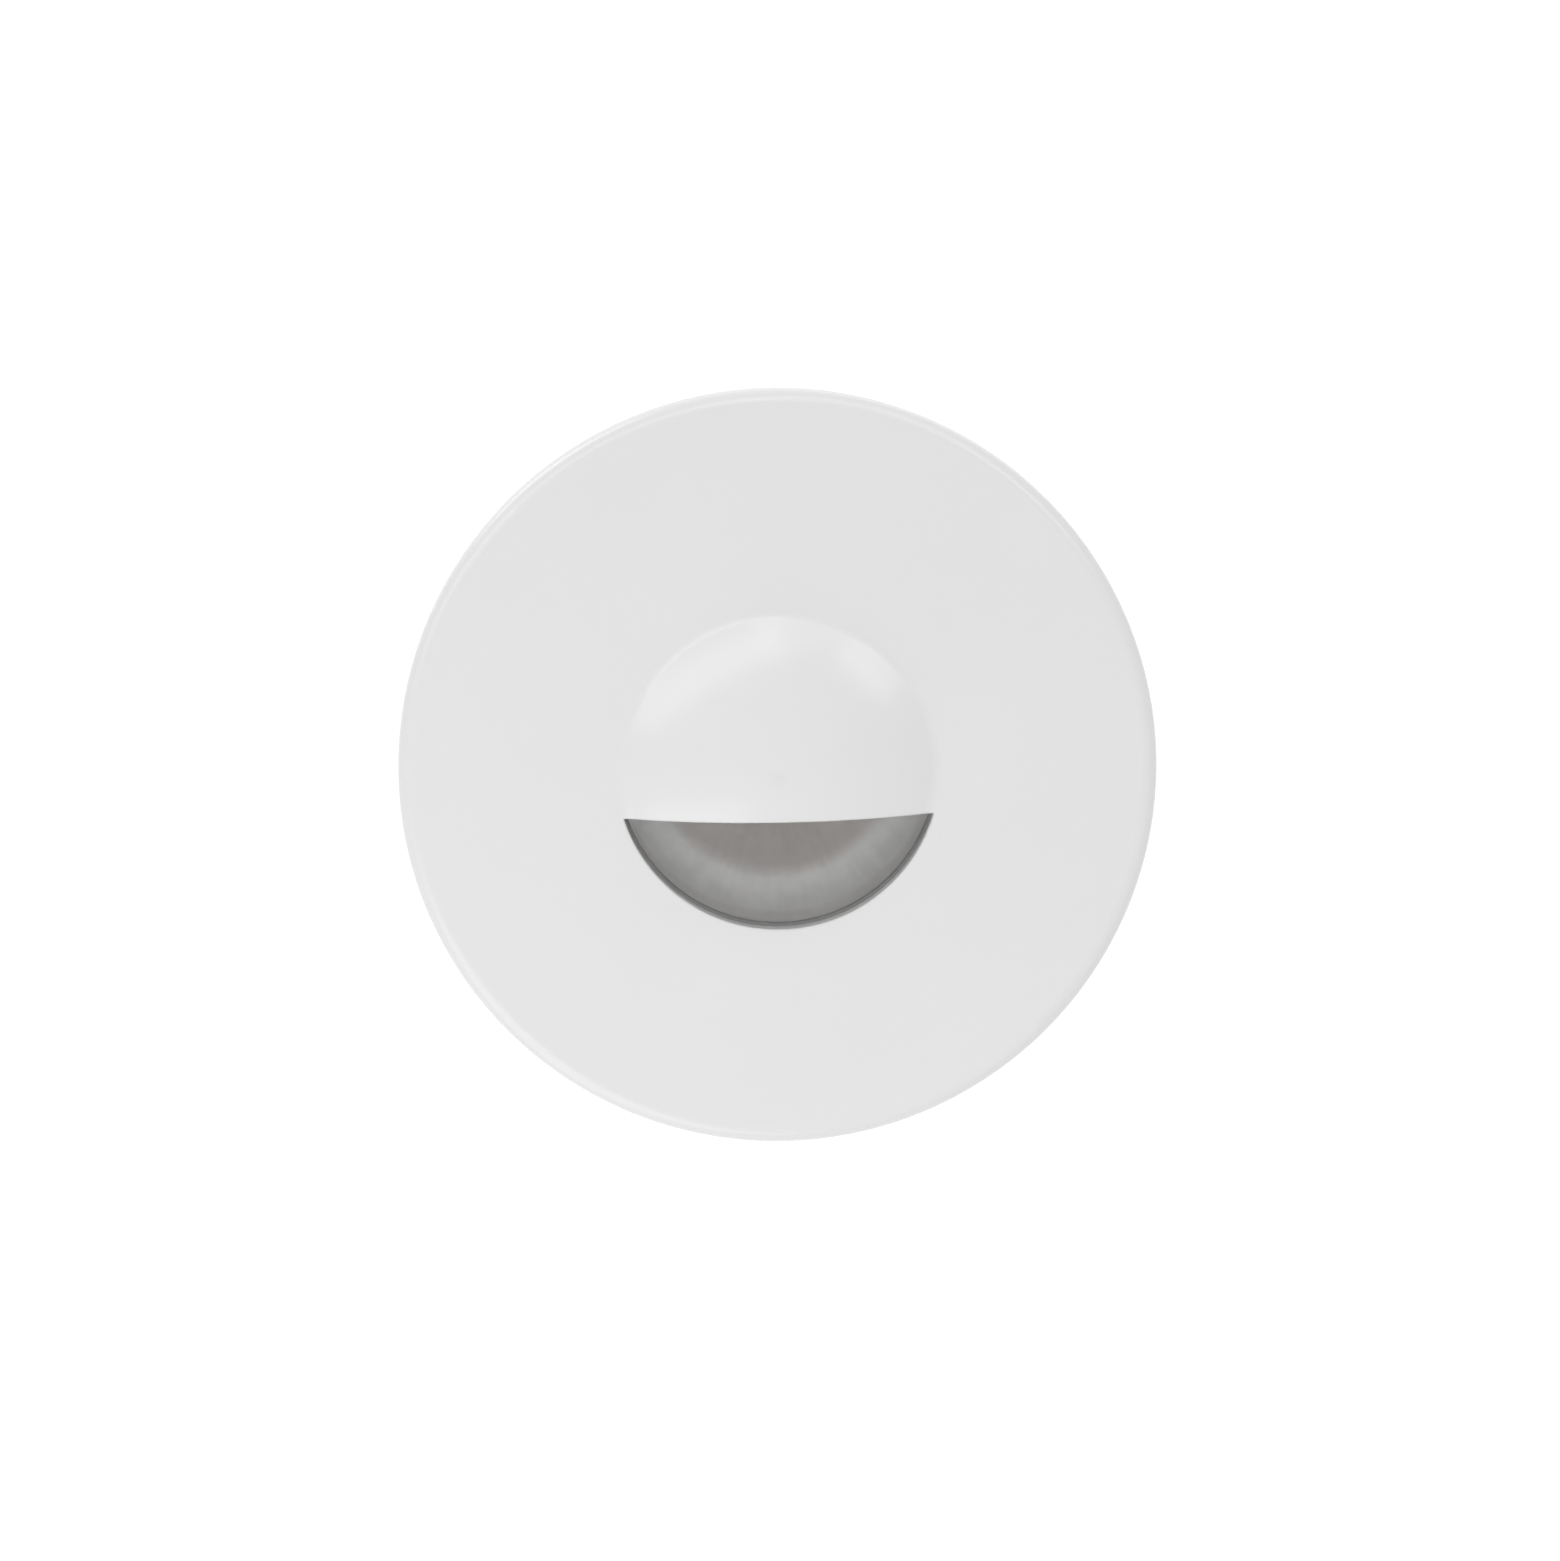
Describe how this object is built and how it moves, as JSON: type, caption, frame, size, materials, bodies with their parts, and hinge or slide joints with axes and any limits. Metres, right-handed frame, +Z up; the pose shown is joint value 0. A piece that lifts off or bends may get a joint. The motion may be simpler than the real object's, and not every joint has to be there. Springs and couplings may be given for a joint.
{
  "type": "recessed wall spotlight",
  "caption": "Round recessed wall spotlight: white face plate with a domed hood over a segment window, finned can behind, sprung clips that grip the wall panel and a cable gland.",
  "frame": {"origin": "centre of the round hole in the wall, on the wall's surface, which is the back face of the wall gasket", "axes": "+Y goes into the wall along the light's axis, the light faces -Y, +Z is up, and +X is to the right seen from the front"},
  "size_m": [0.08, 0.0669, 0.08],
  "materials": {
    "white_paint": "smooth satin white powder coat on die-cast zinc or aluminium",
    "gasket_foam": "closed-cell foam rubber",
    "grey_silicone": "dark grey silicone",
    "clear_glass": "clear toughened glass with ground edges",
    "satin_aluminium": "bead-blasted turned aluminium",
    "cast_aluminium": "bare die-cast aluminium",
    "plated_steel": "zinc-plated steel",
    "led_ceramic": "white ceramic",
    "led_phosphor": "yellow phosphor in silicone",
    "white_board": "white solder mask on a metal-core board",
    "thermal_pad": "grey heat-conducting silicone",
    "black_rubber": "black rubber",
    "red_insulation": "red lead insulation",
    "black_insulation": "black lead insulation",
    "natural_nylon": "natural nylon",
    "green_board": "green solder mask",
    "ferrite": "ferrite",
    "yellow_tape": "yellow insulating tape",
    "capacitor_sleeve": "dark printed-free sleeve",
    "black_resin": "black moulded resin",
    "resistor_coat": "grey-green flameproof coat",
    "terminal_green": "green moulded terminal block",
    "black_nylon": "black glass-filled nylon",
    "spring_steel": "stamped zinc-plated spring steel",
    "spring_wire": "drawn spring wire"
  },
  "bodies": {
    "light_body": {"front_plate": "white_paint", "wall_gasket": "gasket_foam", "window_seal": "grey_silicone", "glass_lens": "clear_glass", "lens_gasket": "grey_silicone", "reflector": "satin_aluminium", "housing": "cast_aluminium", "plate_screws": "plated_steel", "led_emitter": "led_ceramic", "led_phosphor": "led_phosphor", "led_board": "white_board", "thermal_pad": "thermal_pad", "led_board_screws": "plated_steel", "lead_grommet": "black_rubber", "led_lead_positive": "red_insulation", "led_lead_negative": "black_insulation", "driver_tray": "natural_nylon", "driver_board": "green_board", "transformer_core": "ferrite", "transformer_winding": "yellow_tape", "input_capacitor": "capacitor_sleeve", "output_capacitor": "capacitor_sleeve", "bridge_rectifier": "black_resin", "driver_chip": "black_resin", "fuse_resistor": "resistor_coat", "terminal_block": "terminal_green", "terminal_screws": "plated_steel", "rear_cover": "black_nylon", "cover_seal": "black_rubber", "cover_screws": "plated_steel", "gland_washer": "black_rubber", "gland_body": "black_nylon", "gland_seal": "black_rubber", "gland_nut": "black_nylon", "clip_bracket_left": "spring_steel", "clip_bracket_right": "spring_steel", "bracket_screws": "plated_steel", "clip_pin_left": "plated_steel", "clip_pin_right": "plated_steel", "clip_spring_left": "spring_wire", "clip_spring_right": "spring_wire"},
    "clip_left": {"clip_arm_left": "spring_steel"},
    "clip_right": {"clip_arm_right": "spring_steel"}
  },
  "joints": [
    {"name": "clip_left_fold", "type": "hinge", "parent": "light_body", "child": "clip_left", "pos_m": [-0.0273, 0.02, 0], "axis": [0, 0, -1], "range_deg": [0, 138], "stiffness_Nm_per_rad": 0.03, "deforming": ["clip_spring_left"]},
    {"name": "clip_right_fold", "type": "hinge", "parent": "light_body", "child": "clip_right", "pos_m": [0.0273, 0.02, 0], "axis": [0, 0, 1], "range_deg": [0, 138], "stiffness_Nm_per_rad": 0.03, "deforming": ["clip_spring_right"]}
  ]
}
